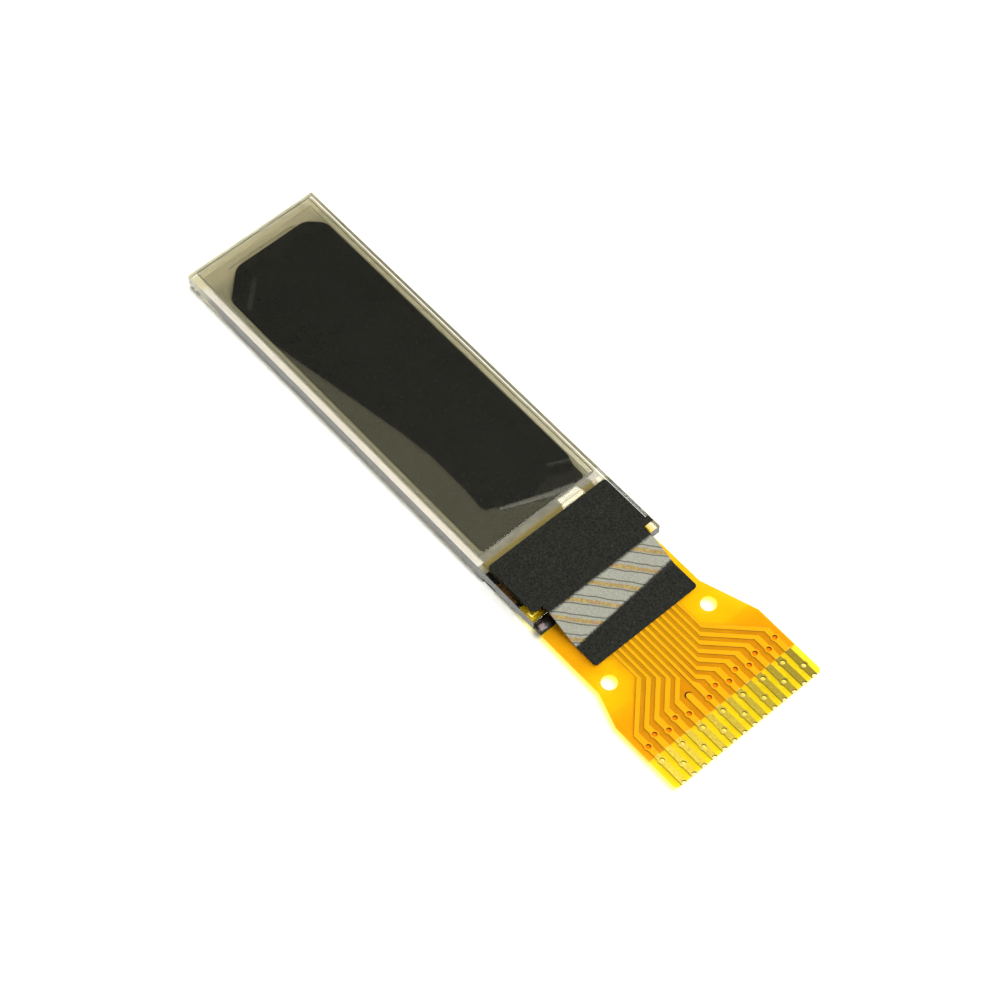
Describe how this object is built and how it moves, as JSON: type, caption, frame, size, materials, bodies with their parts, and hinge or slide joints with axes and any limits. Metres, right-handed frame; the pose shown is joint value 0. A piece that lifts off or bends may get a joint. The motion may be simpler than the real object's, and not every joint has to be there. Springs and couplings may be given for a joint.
{
  "type": "small oled module",
  "caption": "Slim glass display panel with a dark polarized screen, a taped ledge and a short amber flex tail that widens to a row of plated solder pads.",
  "frame": {"origin": "under the middle of the front glass, on the back face of the cap glass, which is what the module lies on", "axes": "+X along the module from the screen towards the pads, +Y across it, to the right when the pads point at the viewer, +Z out of the screen"},
  "size_m": [0.0367, 0.0092, 0.0013],
  "materials": {
    "glass": "clear, polished faces and scribed edges",
    "polarizer": "dark neutral film",
    "emitting_film": "black behind the polarizer",
    "seal_resin": "clear grey resin",
    "desiccant": "matte pale sheet",
    "lead_metal": "thin olive gold film",
    "silicon": "ground silicon",
    "bond_film": "cured adhesive film",
    "black_tape": "matte black film, satin where it is bent",
    "glue": "cured clear resin",
    "amber_film": "clear amber film",
    "coverlay": "clear amber film",
    "plated_copper": "thin gold plating"
  },
  "bodies": {
    "root": {"front_glass": "glass", "cap_glass": "glass", "polarizer": "polarizer", "emitting_film": "emitting_film", "edge_seal": "seal_resin", "desiccant_sheet": "desiccant", "panel_leads": "lead_metal", "driver_chip": "silicon", "chip_bond_film": "bond_film", "flex_bond_film": "bond_film", "light_shield_tape": "black_tape", "back_tape": "black_tape", "glue_bead": "glue", "flex_base": "amber_film", "top_coverlay": "coverlay", "bottom_coverlay": "coverlay", "alignment_mark": "plated_copper", "conductor_1": "plated_copper", "conductor_2": "plated_copper", "conductor_3": "plated_copper", "conductor_4": "plated_copper", "conductor_5": "plated_copper", "conductor_6": "plated_copper", "conductor_7": "plated_copper", "conductor_8": "plated_copper", "conductor_9": "plated_copper", "conductor_10": "plated_copper", "conductor_11": "plated_copper", "conductor_12": "plated_copper", "conductor_13": "plated_copper", "conductor_14": "plated_copper"}
  },
  "joints": []
}
